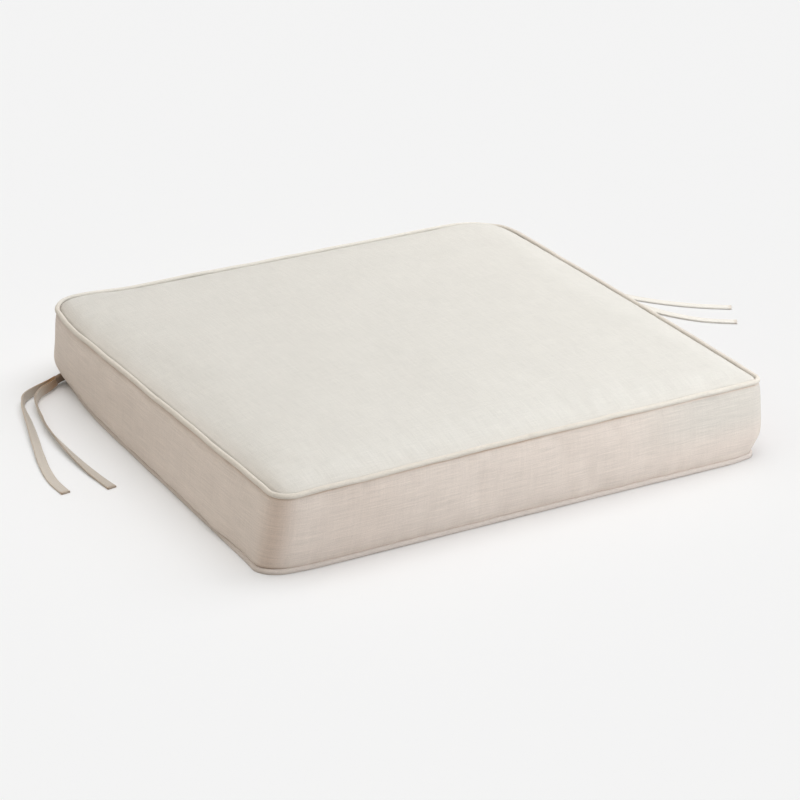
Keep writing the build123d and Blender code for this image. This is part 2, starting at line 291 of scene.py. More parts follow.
def subdivided(obj):
    modifier = obj.modifiers.new("smooth", "SUBSURF")
    modifier.levels = modifier.render_levels = 1
    modifier.boundary_smooth = "PRESERVE_CORNERS"
    return obj


def thickened(obj, thickness):
    modifier = obj.modifiers.new("cloth_thickness", "SOLIDIFY")
    modifier.thickness = thickness
    modifier.offset = -1.0
    return obj


# ---------------------------------------------------------------- shader helpers
def add_node(tree, kind, settings=None, **inputs):
    """A new node. i0, i1 and so on set or link its inputs by number, other words by name."""
    made = tree.nodes.new(kind)
    for key, value in (settings or {}).items():
        setattr(made, key, value)
    for key, value in inputs.items():
        numbered = key[0] == "i" and key[1:].isdigit()
        socket = made.inputs[int(key[1:]) if numbered else key.replace("_", " ")]
        if isinstance(value, bpy.types.NodeSocket):
            tree.links.new(value, socket)
        else:
            socket.default_value = value
    return made


def maths(tree, operation, a, b=0.0, c=0.0):
    return add_node(tree, "ShaderNodeMath", {"operation": operation}, i0=a, i1=b, i2=c).outputs[0]


def times(tree, a, b):
    return maths(tree, "MULTIPLY", a, b)


def vector(tree, x, y, z=0.0):
    return add_node(tree, "ShaderNodeCombineXYZ", i0=x, i1=y, i2=z).outputs[0]


def vector_maths(tree, operation, a, **inputs):
    return add_node(tree, "ShaderNodeVectorMath", {"operation": operation}, i0=a, **inputs).outputs[0]


def cloud(tree, place, detail, roughness=0.5):
    """Noise from about -0.5 to 0.5 at a place that is already scaled."""
    made = add_node(tree, "ShaderNodeTexNoise", {"noise_dimensions": "3D"}, Vector=place, Scale=1.0,
                    Detail=detail, Roughness=roughness)
    return maths(tree, "SUBTRACT", made.outputs[0], 0.5)


# ---------------------------------------------------------------- materials
YARN_WANDER = 0.0012
# How much each colour loses under painted shade and at the ties' worn tips: browned above zero, greyed below
# it for painted cooler light.
BROWNING = (0.68, 1.00, 1.22)
GREYING = (1.00, 0.40, 0.25)
SLUB_WIDTH, SLUB_RUN = 0.0012, 0.024
BROAD_SLUB_WIDTH, BROAD_SLUB_RUN = 0.0030, 0.060
PATCHES_PER_METRE, GRAINS_PER_METRE = 22.0, 900.0


def cloth_coordinates(tree, turn):
    """The two directions of the cloth's yarns, in metres, a little wavy, and the shade painted there (wear at
    the ties' tips).
    """
    at = add_node(tree, "ShaderNodeAttribute", {"attribute_name": "cloth"}).outputs["Vector"]
    painted_shade_and_wear = add_node(tree, "ShaderNodeSeparateXYZ", Vector=at).outputs[2]
    if turn:
        turned = add_node(tree, "ShaderNodeVectorRotate", {"rotation_type": "Z_AXIS"}, Vector=at, Angle=turn)
        at = turned.outputs[0]
    split = add_node(tree, "ShaderNodeSeparateXYZ", Vector=at)
    u, v = split.outputs[0], split.outputs[1]
    wavy = []
    for along, across, layer in ((u, v, 0.0), (v, u, 7.0)):
        place = vector(tree, times(tree, across, 70.0), times(tree, along, 30.0), layer)
        wavy.append(maths(tree, "MULTIPLY_ADD", cloud(tree, place, 1.0), YARN_WANDER, along))
    return wavy[0], wavy[1], painted_shade_and_wear


def plain_weave(tree, u, v, pitch):
    """Height of the yarns from 0 to 1, each going over the next and under the one after."""
    wave_u = maths(tree, "SINE", times(tree, u, math.pi / pitch))
    wave_v = maths(tree, "SINE", times(tree, v, math.pi / pitch))
    over = maths(tree, "GREATER_THAN", times(tree, wave_u, wave_v), 0.0)
    yarn_u, yarn_v = maths(tree, "ABSOLUTE", wave_u), maths(tree, "ABSOLUTE", wave_v)
    down = times(tree, yarn_u, maths(tree, "POWER", yarn_v, 0.4))
    across = times(tree, yarn_v, maths(tree, "POWER", yarn_u, 0.4))
    return add_node(tree, "ShaderNodeMix", {"data_type": "FLOAT"}, i0=over, i2=across, i3=down).outputs[0]


def streaks(tree, across, along, width, run, layer):
    """Noise drawn out along one direction of the cloth."""
    place = vector(tree, times(tree, across, 1 / width), times(tree, along, 1 / run), layer)
    return cloud(tree, place, 2.0, 0.6)


def with_painted_shade(tree, colour, painted_shade_and_wear):
    """The colour less what the painted shade, and the wear at the ties' tips, takes from it."""
    kept = (1.0, 1.0, 1.0)
    for loss, amount in ((BROWNING, painted_shade_and_wear), (GREYING, times(tree, painted_shade_and_wear, -1.0))):
        amount = maths(tree, "MAXIMUM", amount, 0.0)
        kept = vector_maths(tree, "SUBTRACT", kept, i1=vector_maths(tree, "SCALE", loss, i3=amount))
    return vector_maths(tree, "MULTIPLY", colour, i1=kept)


def woven(name, colour, pitch=0.00075, slub=0.20, run=0.020, weft=1.0, warp=1.0, wide=0.7, mottle=0.05,
          relief=0.00025, turn=0.0, bump_slub=1.1):
    """Plain weave with slubs both ways, soft mottling and a matt, slightly furry face.

    pitch is the spacing of the yarns, run the length of the weft's slubs and relief the yarns' height, in
    metres. slub is the strength of the slubs in the colour and bump_slub in the surface; weft, warp and wide
    are the shares of the weft's, the warp's and the broad ones.
    """
    material = bpy.data.materials.new(name)
    material.use_nodes = True
    tree = material.node_tree
    shader = tree.nodes["Principled BSDF"]
    u, v, painted_shade_and_wear = cloth_coordinates(tree, turn)
    weave = plain_weave(tree, u, v, pitch)
    slubs = maths(tree, "ADD",
                  times(tree, streaks(tree, u, v, SLUB_WIDTH, SLUB_RUN, 1.0), warp),
                  times(tree, streaks(tree, v, u, SLUB_WIDTH, run, 5.0), weft))
    broad = streaks(tree, u, v, BROAD_SLUB_WIDTH, BROAD_SLUB_RUN, 9.0)
    slubs = maths(tree, "ADD", slubs, times(tree, broad, wide))
    patches = vector(tree, times(tree, u, PATCHES_PER_METRE), times(tree, v, PATCHES_PER_METRE), 3.0)
    grains = vector(tree, times(tree, u, GRAINS_PER_METRE), times(tree, v, GRAINS_PER_METRE), 2.0)
    tone = maths(tree, "MULTIPLY_ADD", slubs, slub, 1.0)
    tone = maths(tree, "MULTIPLY_ADD", cloud(tree, patches, 3.0), mottle, tone)
    tone = maths(tree, "MULTIPLY_ADD", cloud(tree, grains, 1.0), slub * 0.9, tone)
    tone = times(tree, tone, maths(tree, "MULTIPLY_ADD", weave, 0.060, 0.964))
    base = vector_maths(tree, "SCALE", with_painted_shade(tree, colour, painted_shade_and_wear), i3=tone)
    tree.links.new(base, shader.inputs["Base Color"])
    height = maths(tree, "MULTIPLY_ADD", slubs, bump_slub, weave)
    bump = add_node(tree, "ShaderNodeBump", Strength=0.75, Distance=relief, Height=height)
    tree.links.new(bump.outputs[0], shader.inputs["Normal"])
    rough = maths(tree, "MULTIPLY_ADD", slubs, 0.08, 0.86)
    tree.links.new(rough, shader.inputs["Roughness"])
    shader.inputs["Specular IOR Level"].default_value = 0.25
    shader.inputs["Sheen Weight"].default_value = 0.25
    shader.inputs["Sheen Roughness"].default_value = 0.45
    shader.inputs["Sheen Tint"].default_value = (1.0, 0.97, 0.93, 1.0)
    return material


def plain(name, colour, cell, relief, roughness, spread=0.06, sheen=0.0):
    """Fibre, foam, nylon or enamel: a mottled colour with a fine broken surface."""
    material = bpy.data.materials.new(name)
    material.use_nodes = True
    tree = material.node_tree
    shader = tree.nodes["Principled BSDF"]
    place = add_node(tree, "ShaderNodeTexCoord").outputs["Object"]
    field = cloud(tree, vector_maths(tree, "SCALE", place, i3=1 / cell), 6.0, 0.6)
    base = vector_maths(tree, "SCALE", colour, i3=maths(tree, "MULTIPLY_ADD", field, spread, 1.0))
    tree.links.new(base, shader.inputs["Base Color"])
    bump = add_node(tree, "ShaderNodeBump", Strength=0.6, Distance=relief, Height=field)
    tree.links.new(bump.outputs[0], shader.inputs["Normal"])
    rough = maths(tree, "MULTIPLY_ADD", field, 0.12, roughness)
    tree.links.new(rough, shader.inputs["Roughness"])
    shader.inputs["Sheen Weight"].default_value = sheen
    return material


BIAS = math.radians(45)
cover_cloth = woven("cover_cloth", (0.651, 0.6235, 0.575), slub=0.18, wide=0.4, mottle=0.07)
boxing_cloth = woven("boxing_cloth", (0.702, 0.611, 0.541), slub=0.24, run=0.034, weft=1.5, warp=0.5,
                     wide=0.3, mottle=0.09, bump_slub=0.5)
top_piping_cloth = woven("piping_cloth", (0.787, 0.775, 0.721), turn=BIAS, slub=0.12)
# The low piping's cloth is the piping cloth painted darker: painted shade under the pad's bottom edge.
shaded_low_piping_cloth = woven("shaded_low_piping_cloth", (0.625, 0.550, 0.497), turn=BIAS, slub=0.12)
tie_cloth = woven("tie_cloth", (0.70, 0.68, 0.63), slub=0.10, relief=0.00016)
# A darker brown copy of the tie cloth for the straps' folded middle: painted shade in the rear corner.
shaded_tie_root_cloth = woven("shaded_tie_root_cloth", (0.36, 0.265, 0.195), slub=0.10, relief=0.00016)
tape_cloth = woven("zip_tape_cloth", (0.55, 0.51, 0.45), pitch=0.0005, slub=0.04, relief=0.00010)
thread = plain("sewing_thread", (0.80, 0.75, 0.67), 0.0006, 0.00008, 0.7, sheen=0.2)
filler = plain("filler_cord_fibre", (0.86, 0.85, 0.82), 0.0008, 0.0002, 0.85, sheen=0.3)
wadding_fibre = plain("polyester_wadding", (0.90, 0.90, 0.89), 0.0035, 0.0009, 0.95, spread=0.10, sheen=0.4)
foam_cells = plain("upholstery_foam", (0.86, 0.80, 0.62), 0.0012, 0.0007, 0.92, spread=0.14)
nylon = plain("nylon_coil", (0.70, 0.655, 0.57), 0.002, 0.00004, 0.38, spread=0.03)
enamel = plain("enamelled_zip_metal", (0.66, 0.61, 0.52), 0.0015, 0.00003, 0.32, spread=0.05)

# ---------------------------------------------------------------- ties
# Points of each route, in metres, from the stitched fold at the rear corner to the bare end. A strap
# whose middle is higher than half its thickness stands partly on edge; on the floor it lies flat.
FLAT = 0.00100
TIE_ROUTES = {
    "left_tie_outer": (
        (-0.2545, 0.2160, 0.0068), (-0.2650, 0.2095, 0.0066), (-0.2840, 0.2035, 0.0056),
        (-0.2975, 0.1950, 0.0050), (-0.3045, 0.1770, 0.0046), (-0.3095, 0.1540, 0.0040),
        (-0.3160, 0.1270, 0.0033), (-0.3240, 0.0970, 0.0026), (-0.3320, 0.0660, 0.0018),
        (-0.3380, 0.0380, 0.0012), (-0.3410, 0.0100, FLAT), (-0.3390, -0.0100, FLAT),
    ),
    "left_tie_inner": (
        (-0.2545, 0.2145, 0.0068), (-0.2635, 0.2060, 0.0066), (-0.2770, 0.1985, 0.0062),
        (-0.2870, 0.1870, 0.0058), (-0.2930, 0.1720, 0.0052), (-0.2975, 0.1500, 0.0048),
        (-0.3020, 0.1250, 0.0046), (-0.3040, 0.0960, 0.0042), (-0.3045, 0.0670, 0.0034),
        (-0.3040, 0.0380, 0.0024), (-0.3020, 0.0070, 0.0015), (-0.2985, -0.0200, FLAT),
    ),
    "right_tie_outer": (
        (0.2560, 0.2245, 0.0104), (0.2680, 0.2150, 0.0098), (0.2840, 0.2100, 0.0080),
        (0.3030, 0.2090, 0.0056), (0.3215, 0.2000, 0.0034), (0.3375, 0.1835, 0.0020),
        (0.3480, 0.1615, 0.0013), (0.3590, 0.1395, FLAT), (0.3735, 0.1190, FLAT),
        (0.3920, 0.0980, FLAT), (0.4140, 0.0780, FLAT), (0.4370, 0.0630, FLAT),
    ),
    "right_tie_inner": (
        (0.2560, 0.2230, 0.0104), (0.2670, 0.2150, 0.0100), (0.2810, 0.2050, 0.0086),
        (0.2950, 0.1900, 0.0066), (0.3090, 0.1740, 0.0050), (0.3230, 0.1590, 0.0040),
        (0.3360, 0.1420, 0.0032), (0.3480, 0.1230, 0.0024), (0.3580, 0.1030, 0.0016),
        (0.3670, 0.0830, 0.0012), (0.3800, 0.0620, FLAT), (0.3970, 0.0420, FLAT),
        (0.4190, 0.0280, FLAT),
    ),
}
LEAN = {"left": 1.0, "right": -1.0}         # the way a strap tips where it stands on edge
# Painted shade: the left straps are darker, lying in the pad's shade; the right ones are a touch darker.
TIE_PAINTED_SHADE = {"left": 0.175, "right": 0.06}
# The left straps are also darker along their edges.
TIE_EDGE_DARKENING = {"left": 0.15, "right": 0.0}
ROUTE_STEP = 0.002

# The folded strap's section, in mm: a pressed fold on one side, two open edges on the other.
STRAP_SECTION = np.array((
    (-4.50, 0.00), (-4.42, 0.42), (-4.10, 0.74), (-3.40, 0.88), (-1.80, 0.84), (0.00, 0.88), (1.80, 0.84),
    (3.40, 0.90), (4.20, 0.84), (4.50, 0.55), (4.42, 0.22), (4.00, 0.10), (2.60, 0.07), (0.50, 0.06),
    (-2.40, 0.07), (-3.60, 0.09), (-3.78, 0.00), (-3.60, -0.09), (-2.40, -0.07), (0.50, -0.06), (2.60, -0.07),
    (4.00, -0.10), (4.42, -0.22), (4.50, -0.55), (4.20, -0.84), (3.40, -0.90), (1.80, -0.84), (0.00, -0.88),
    (-1.80, -0.84), (-3.40, -0.88), (-4.10, -0.74), (-4.42, -0.42),
)) * MM


def route_line(name, points):
    """Points read from the smooth line of a route, evenly spaced, and the distance along it."""
    data = bpy.data.curves.new(name + "_line", "CURVE")
    data.dimensions = "3D"
    spline = data.splines.new("NURBS")
    spline.points.add(len(points) - 1)
    for point, place in zip(spline.points, points):
        point.co = (*place, 1.0)
    spline.order_u = 3
    spline.use_endpoint_u = True
    data.resolution_u = 16
    obj = bpy.data.objects.new(name + "_line", data)
    scene.collection.objects.link(obj)
    bpy.context.view_layer.update()
    mesh = bpy.data.meshes.new_from_object(obj)
    line = np.array([v.co for v in mesh.vertices], float)
    bpy.data.objects.remove(obj)
    bpy.data.curves.remove(data)
    bpy.data.meshes.remove(mesh)
    along = length_along(line)
    even = np.linspace(0, along[-1], int(along[-1] / ROUTE_STEP) + 1)
    return np.stack([np.interp(even, along, line[:, i]) for i in range(3)], -1), even


def strap(line, along, lean, seed, flip=1.0):
    """A folded strap along a line, on edge where it is high: its mesh, and its wide and thick directions."""
    n, k = len(line), len(STRAP_SECTION)
    tangent = unit(np.gradient(line, axis=0))
    side = unit(np.cross(tangent, (0, 0, 1.0)))
    up = np.cross(side, tangent)
    reach = math.hypot(TIE_WIDTH, TIE_THICKNESS) / 2
    tilt = np.arcsin(np.clip((line[:, 2] - 0.0001) / reach, 0, 1)) - math.atan(TIE_THICKNESS / TIE_WIDTH)
    tilt = np.clip(tilt, 0, np.radians(88)) * lean
    wide = np.cos(tilt)[:, None] * side + np.sin(tilt)[:, None] * up
    thick = np.cross(wide, tangent)
    width = 1 + 0.03 * ripple(along, 0, 0.018, seed)
    curl = 0.35 * MM * ripple(along, 0, 0.03, seed + 1)
    across = STRAP_SECTION[:, 0] * flip
    depth = STRAP_SECTION[None, :, 1] + curl[:, None] * (1 - (across[None] / (TIE_WIDTH / 2)) ** 2)
    points = (
        line[:, None]
        + (width[:, None] * across[None])[..., None] * wide[:, None]
        + depth[..., None] * thick[:, None]
    )
    points[..., 2] = np.maximum(points[..., 2], 0.04 * MM)
    faces = strip_faces(n, k, close_cols=True, flip=flip < 0).tolist()
    start, end = list(range(k)), list(range((n - 1) * k, n * k))
    faces.append(start[::-1] if flip > 0 else start)
    faces.append(end if flip > 0 else end[::-1])
    cloth = np.stack([
        np.broadcast_to(across[None], (n, k)),
        np.broadcast_to(along[:, None], (n, k)),
        np.zeros((n, k)),
    ], -1)
    return (points.reshape(-1, 3), faces, cloth.reshape(-1, 3)), (wide, thick)


STITCH_POINTS = 5
STITCH_DIVE = np.array([-1.6, 0.1, 0.3, 0.1, -1.6])


def stitches(line, direction, lift, length=0.0030, gap=0.0010, radius=0.00022, sink=0.35):
    """Thread stitches laid end to end along a line, each a small bar whose ends dive into the cloth."""
    along = length_along(line)
    direction = np.broadcast_to(direction, line.shape)
    parts = []
    for i in range(int(along[-1] / (length + gap))):
        t = i * (length + gap) + np.linspace(0, length, STITCH_POINTS)
        centre = np.stack([np.interp(t, along, line[:, a]) for a in range(3)], -1)
        out = np.stack([np.interp(t, along, direction[:, a]) for a in range(3)], -1)
        dive = STITCH_DIVE * sink * MM + lift
        parts.append(tube(centre + out * dive[:, None], radius, 5))
    return joined(parts)


def make_tie(name, points, seed, flip):
    """One free end of a tie, with a line of stitching by its open edges on both faces."""
    side, _, end = name.split("_")
    line, along = route_line(name, points)
    (p, f, cloth), (wide, thick) = strap(line, along, LEAN[side], seed, flip)
    across, run = np.abs(cloth[:, 0]), cloth[:, 1]
    # Painted shade: both straps darker toward the root in the corner; the bare tips browner where they are
    # worn.
    cloth[:, 2] = TIE_PAINTED_SHADE[side] + 0.40 * (1 - smooth((run - 0.006) / 0.034))
    cloth[:, 2] += TIE_EDGE_DARKENING[side] * smooth((across - 0.0037) / 0.0006)
    cloth[:, 2] += 0.14 * smooth((run - along[-1] + 0.0045) / 0.0030)
    piece = mesh_piece(f"{side}_strap_{end}", p, f, cloth, tie_cloth, settled=False)
    seam = line + wide * 0.0034 * flip
    edge = []
    for face in (1, -1):
        edge.append(stitches(seam, thick * face, 0.00092, length=0.0024, gap=0.0008, radius=0.00016,
                             sink=0.25))
    sewing = mesh_piece(f"{side}_strap_{end}_stitching", *joined(edge), thread, settled=False)
    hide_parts(name)


# Each root's bend in plan, from inside the corner seam to where the free ends part, and its height.
ROOT_BENDS = {
    "left": (((-0.2410, 0.2225), (-0.2470, 0.2215), (-0.2560, 0.2145)), 0.0068),
    "right": (((0.2445, 0.2290), (0.2490, 0.2285), (0.2575, 0.2232)), 0.0102),
}
ROOT_SEED = 31


def make_tie_root(side):
    """The strap's folded middle, two thicknesses side by side, sewn into the corner seam."""
    bend, height = ROOT_BENDS[side]
    start, turn, end = np.array(bend)
    t = np.linspace(0, 1, 9)[:, None]
    plan_line = (1 - t) ** 2 * start + 2 * t * (1 - t) * turn + t**2 * end
    parts = []
    for shift in (-0.95, 0.95):
        line = np.column_stack([plan_line, np.full(len(plan_line), height)])
        tangent = unit(np.gradient(line, axis=0))
        line = line + np.cross(tangent, (0, 0, 1.0)) * shift * MM
        parts.append(strap(line, length_along(line), -LEAN[side], ROOT_SEED + shift)[0])
    root = mesh_piece(f"{side}_strap_root", *joined(parts), shaded_tie_root_cloth, settled=False)
    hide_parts(f"{side}_tie_root")


for number, (name, points) in enumerate(TIE_ROUTES.items()):
    make_tie(name, points, 11 + number * 3, 1.0 if number % 2 else -1.0)
for side in ("left", "right"):
    make_tie_root(side)


# ---------------------------------------------------------------- panels
def panel_grid(inset, step):
    """A square grid filling the outline less an inset: x, y, distance to the edge, quads and rim loop."""
    half_x, half_y = HALF_X - inset, HALF_Y - inset
    nx, ny = int(round(2 * half_x / step)), int(round(2 * half_y / step))
    x, y = np.meshgrid(np.linspace(-half_x, half_x, nx + 1), np.linspace(-half_y, half_y, ny + 1))
    front_right, back_right, back_left, front_left = CORNER_RADII
    radius = np.choose((x < 0) + 2 * (y > 0), [front_right, front_left, back_right, back_left]) - inset
    p = (np.abs(x) - (half_x - radius)) / radius
    q = (np.abs(y) - (half_y - radius)) / radius
    corner = (p > 0) & (q > 0)
    p1, q1 = np.maximum(p, 1e-9), np.maximum(q, 1e-9)
    scale = np.where(corner, np.maximum(p1, q1) / np.hypot(p1, q1), 1.0)
    px = np.where(corner, (half_x - radius + radius * p1 * scale) * np.sign(x), x)
    py = np.where(corner, (half_y - radius + radius * q1 * scale) * np.sign(y), y)
    flat_edge = np.minimum(half_x - np.abs(x), half_y - np.abs(y))
    edge = np.where(corner, radius * (1 - np.maximum(p1, q1)), flat_edge)
    rows, cols = ny + 1, nx + 1
    index = np.arange(rows * cols).reshape(rows, cols)
    loop = np.concatenate([index[0, :-1], index[:-1, -1], index[-1, :0:-1], index[:0:-1, 0]])
    return px.ravel(), py.ravel(), edge.ravel(), strip_faces(rows, cols), loop


PUFF, PUFF_REACH = 0.0055, 0.0065       # beside the piping
DOME, DOME_REACH = 0.0076, 0.085        # over the whole top
DOME_SPAN = 0.245
DOME_HALF_X, DOME_HALF_Y = 0.2485, 0.242


def crown(x, y, edge):
    """Rise of the top above its seam: a quick puff beside the piping and a long shallow dome."""
    def shoulder(gap):
        return (1 - np.exp(-np.maximum(gap, 0) / DOME_REACH)) / (1 - math.exp(-DOME_SPAN / DOME_REACH))
    puff = PUFF * (1 - np.exp(-edge / PUFF_REACH))
    return puff + DOME * shoulder(DOME_HALF_X - np.abs(x)) * shoulder(DOME_HALF_Y - np.abs(y))


SWELL_FRAMES = 20
SWELL_PRESSURE = 4.0
SWELL_STIFFNESS = 12.0
SWELL_BENDING = 0.4


def inflate(obj, held, shrink):
    """Blows a cloth out against its held seams and returns where its points end up."""
    group = obj.vertex_groups.new(name="seam")
    group.add([int(i) for i in held], 1.0, "REPLACE")
    modifier = obj.modifiers.new("swell", "CLOTH")
    settings = modifier.settings
    settings.quality = 6
    settings.mass = 0.25
    settings.tension_stiffness = settings.compression_stiffness = SWELL_STIFFNESS
    settings.shear_stiffness = SWELL_STIFFNESS * 0.4
    settings.bending_stiffness = SWELL_BENDING
    settings.use_pressure = True
    settings.uniform_pressure_force = SWELL_PRESSURE
    settings.shrink_min = shrink
    settings.vertex_group_mass = "seam"
    settings.effector_weights.gravity = 0.0
    modifier.point_cache.frame_start = 1
    modifier.point_cache.frame_end = SWELL_FRAMES
    for number in range(1, SWELL_FRAMES + 1):
        scene.frame_set(number)
    mesh = obj.evaluated_get(bpy.context.evaluated_depsgraph_get()).to_mesh()
    moved = np.empty(len(mesh.vertices) * 3)
    mesh.vertices.foreach_get("co", moved)
    obj.modifiers.remove(modifier)
    obj.vertex_groups.remove(group)
    scene.frame_set(1)
    return moved.reshape(-1, 3)


def swell(obj, points, held, shrink, cap):
    """Gives a cloth its blown-out shape, no point of it moved further than the cap."""
    rest = settle(points)
    movement = inflate(obj, held, shrink) - rest
    size = np.linalg.norm(movement, axis=1, keepdims=True)
    moved = rest + movement * cap * np.tanh(size / cap) / np.maximum(size, 1e-9)
    obj.data.vertices.foreach_set("co", np.asarray(moved, np.float32).ravel())
    obj.data.update()


def dent(x, y, at, size, turn, depth):
    """A soft oval hollow (or, with depth below zero, a swelling) in a panel."""
    c, s = math.cos(turn), math.sin(turn)
    dx, dy = x - at[0], y - at[1]
    a, b = (dx * c + dy * s) / size[0], (dy * c - dx * s) / size[1]
    return -depth * np.exp(-(a * a + b * b))


# Puckers in the top and the boxing: middle, half length and half width, turn, depth. On the boxing the
# first of each pair is along the outline and the second is height.
TOP_DENTS = (
    ((-0.229, 0.208), (0.016, 0.0050), 0.15, 0.0007),
    ((-0.230, 0.178), (0.018, 0.0055), -0.10, 0.0009),
    ((-0.231, 0.146), (0.015, 0.0050), 0.20, 0.0006),
    ((0.040, -0.237), (0.0040, 0.013), 0.10, 0.0013),
    ((0.053, -0.233), (0.0045, 0.018), 0.05, 0.0016),
    ((0.067, -0.236), (0.0045, 0.014), -0.15, 0.0013),
    ((-0.226, -0.020), (0.010, 0.120), 0.0, 0.0006),
)
BAND_DENTS = (
    ((0.024, 0.0665), (0.018, 0.0030), -0.45, 0.0009),
    ((0.040, 0.0670), (0.017, 0.0028), 0.50, 0.0008),
    ((0.033, 0.0560), (0.020, 0.0060), 0.10, -0.0005),
    ((-0.212, 0.0400), (0.006, 0.0100), 0.20, 0.0010),
)


def finish_cover(obj, node):
    """What every panel of the cover shares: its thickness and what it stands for."""
    thickened(subdivided(obj), CLOTH)
    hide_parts(node)


def make_top_panel():
    x, y, edge, quads, loop = panel_grid(0.0046, 0.0058)
    z = TOP_SEAM_Z + crown(x, y, edge)
    z += 0.0007 * ripple(x, y, 0.085, 3) * smooth(edge / 0.05)
    z += 0.00035 * ripple(x, y, 0.030, 4) * smooth(edge / 0.02)
    along_edge = np.where(np.abs(x) * HALF_Y > np.abs(y) * HALF_X, y, x)
    gather = ripple(along_edge, np.sign(x) + 2 * np.sign(y), 0.0075, 6) * bell(edge - 0.007, 0.008)
    z += 0.00030 * gather
    for at, size, turn, depth in TOP_DENTS:
        z += dent(x, y, at, size, turn, depth)
    # Painted shade: darker in the valley just inside the left piping, fainter inside the front piping.
    painted_shade_and_wear = 0.08 * bell(x + HALF_X - 0.005, 0.011) + 0.03 * bell(y + HALF_Y - 0.005, 0.010)
    points = np.column_stack([x, y, z])
    cloth = mesh_piece("top_panel_cloth", points, quads, np.column_stack([x, y, painted_shade_and_wear]), cover_cloth)
    swell(cloth, points, loop, -0.004, 0.003)
    finish_cover(cloth, "top_panel")


def make_bottom_panel():
    x, y, edge, quads, _ = panel_grid(0.0048, 0.0075)
    waves = 0.0005 * smooth(edge / 0.03) * np.maximum(0, ripple(x, y, 0.06, 8))
    z = 0.0020 * np.exp(-edge / 0.0035) + 0.00012 + waves
    cloth = mesh_piece("bottom_panel_cloth", np.column_stack([x, y, z]), quads[:, ::-1],
                       np.column_stack([x, y, 0 * x]), cover_cloth)
    finish_cover(cloth, "bottom_panel")


make_top_panel()
make_bottom_panel()

# ---------------------------------------------------------------- boxing round the front and sides
S_START, S_END = s_of(-BAND_END_X, HALF_Y) - PERIMETER, s_of(BAND_END_X, HALF_Y)
S_FRONT_LEFT, S_FRONT_RIGHT = s_of(-HALF_X, -HALF_Y) - PERIMETER, s_of(HALF_X, -HALF_Y)
BAND_ROWS = np.array((2.6, 3.6, 4.4, 5.4, 8.0, 12.0, 17.0, 23.0, 30.0, 38.0, 46.0, 53.0, 59.0, 63.5, 66.8,
                      68.8, 69.8, 70.5, 71.3, 72.2)) * MM
BAND_LOW, BAND_HIGH = BAND_ROWS[0], BAND_ROWS[-1]
BAND_STEP = 0.0055


def band_bulge(s, z):
    """How far the boxing stands out from its seams, in metres."""
    t = (z - BAND_LOW) / (BAND_HIGH - BAND_LOW)
    form = 1 - np.abs(2 * t - 1) ** np.where(t > 0.5, 9.0, 4.0)
    form = form * smooth((s - S_START) / 0.035) * smooth((S_END - s) / 0.035)
    left = smooth((S_FRONT_LEFT - 0.02 - s) / 0.08)
    tucked = 0.0009 * bell(z - 0.0719, 0.0007) + 0.0008 * bell(z - 0.0040, 0.0010) * (1 - left)
    low_roll = 0.0028 * bell(z - 0.011, 0.012) + 0.0020 * bell(z - 0.0045, 0.004)
    low_roll = low_roll * left * smooth((z - BAND_LOW) / 0.0020)
    stand = 0.0030 * form + 0.0006 * form * ripple(s, z, 0.045, 21) + low_roll - tucked
    for at, half, turn, depth in BAND_DENTS:
        stand = stand + dent(s, z, at, half, turn, depth)
    return stand


def band_painted_shade(s, z):
    """Painted shade, browner, at the front left corner and along the seams; painted cooler light, greyer,
    high up at the front's right end.
    """
    painted_shade_and_wear = 0.17 * bell(s - S_FRONT_LEFT, 0.011) + 0.045 * bell(s - S_FRONT_LEFT - 0.075, 0.045)
    front_right = smooth((s - S_FRONT_RIGHT + 0.17) / 0.12) * smooth((S_FRONT_RIGHT + 0.03 - s) / 0.03)
    painted_shade_and_wear -= 0.09 * front_right * smooth((z - 0.02) / 0.03)
    off_left_side = 1 - smooth((S_FRONT_LEFT + 0.01 - s) / 0.04)
    return painted_shade_and_wear + 0.46 * bell(z - 0.0713, 0.0008) + 0.14 * off_left_side * bell(z - 0.0044, 0.0008)


def make_boxing_band():
    columns = np.linspace(S_START, S_END, int((S_END - S_START) / BAND_STEP) + 1)
    s, z = flat_grid(columns, BAND_ROWS)
    centre, normal = outline(s)
    near_seam = bell(z - BAND_LOW, 0.010) + bell(z - BAND_HIGH, 0.010)
    stand = band_bulge(s, z) - 0.0003 + 0.00028 * ripple(s, z, 0.0075, 23) * near_seam
    points = np.column_stack([centre + normal * stand[:, None], z])
    cloth = mesh_piece("boxing_cloth", points, strip_faces(len(BAND_ROWS), len(columns)),
                       np.column_stack([s, z, band_painted_shade(s, z)]), boxing_cloth)
    at_seams = (z < BAND_LOW + MM) | (z > BAND_HIGH - MM)
    at_ends = (s < S_START + 0.004) | (s > S_END - 0.004)
    swell(cloth, points, np.nonzero(at_seams | at_ends)[0], -0.006, 0.0025)
    finish_cover(cloth, "boxing_band")


make_boxing_band()

# ---------------------------------------------------------------- boxing strips either side of the zip
TOPSTITCH_FROM_FOLD = 0.0032
TOPSTITCH_END_X = 0.213


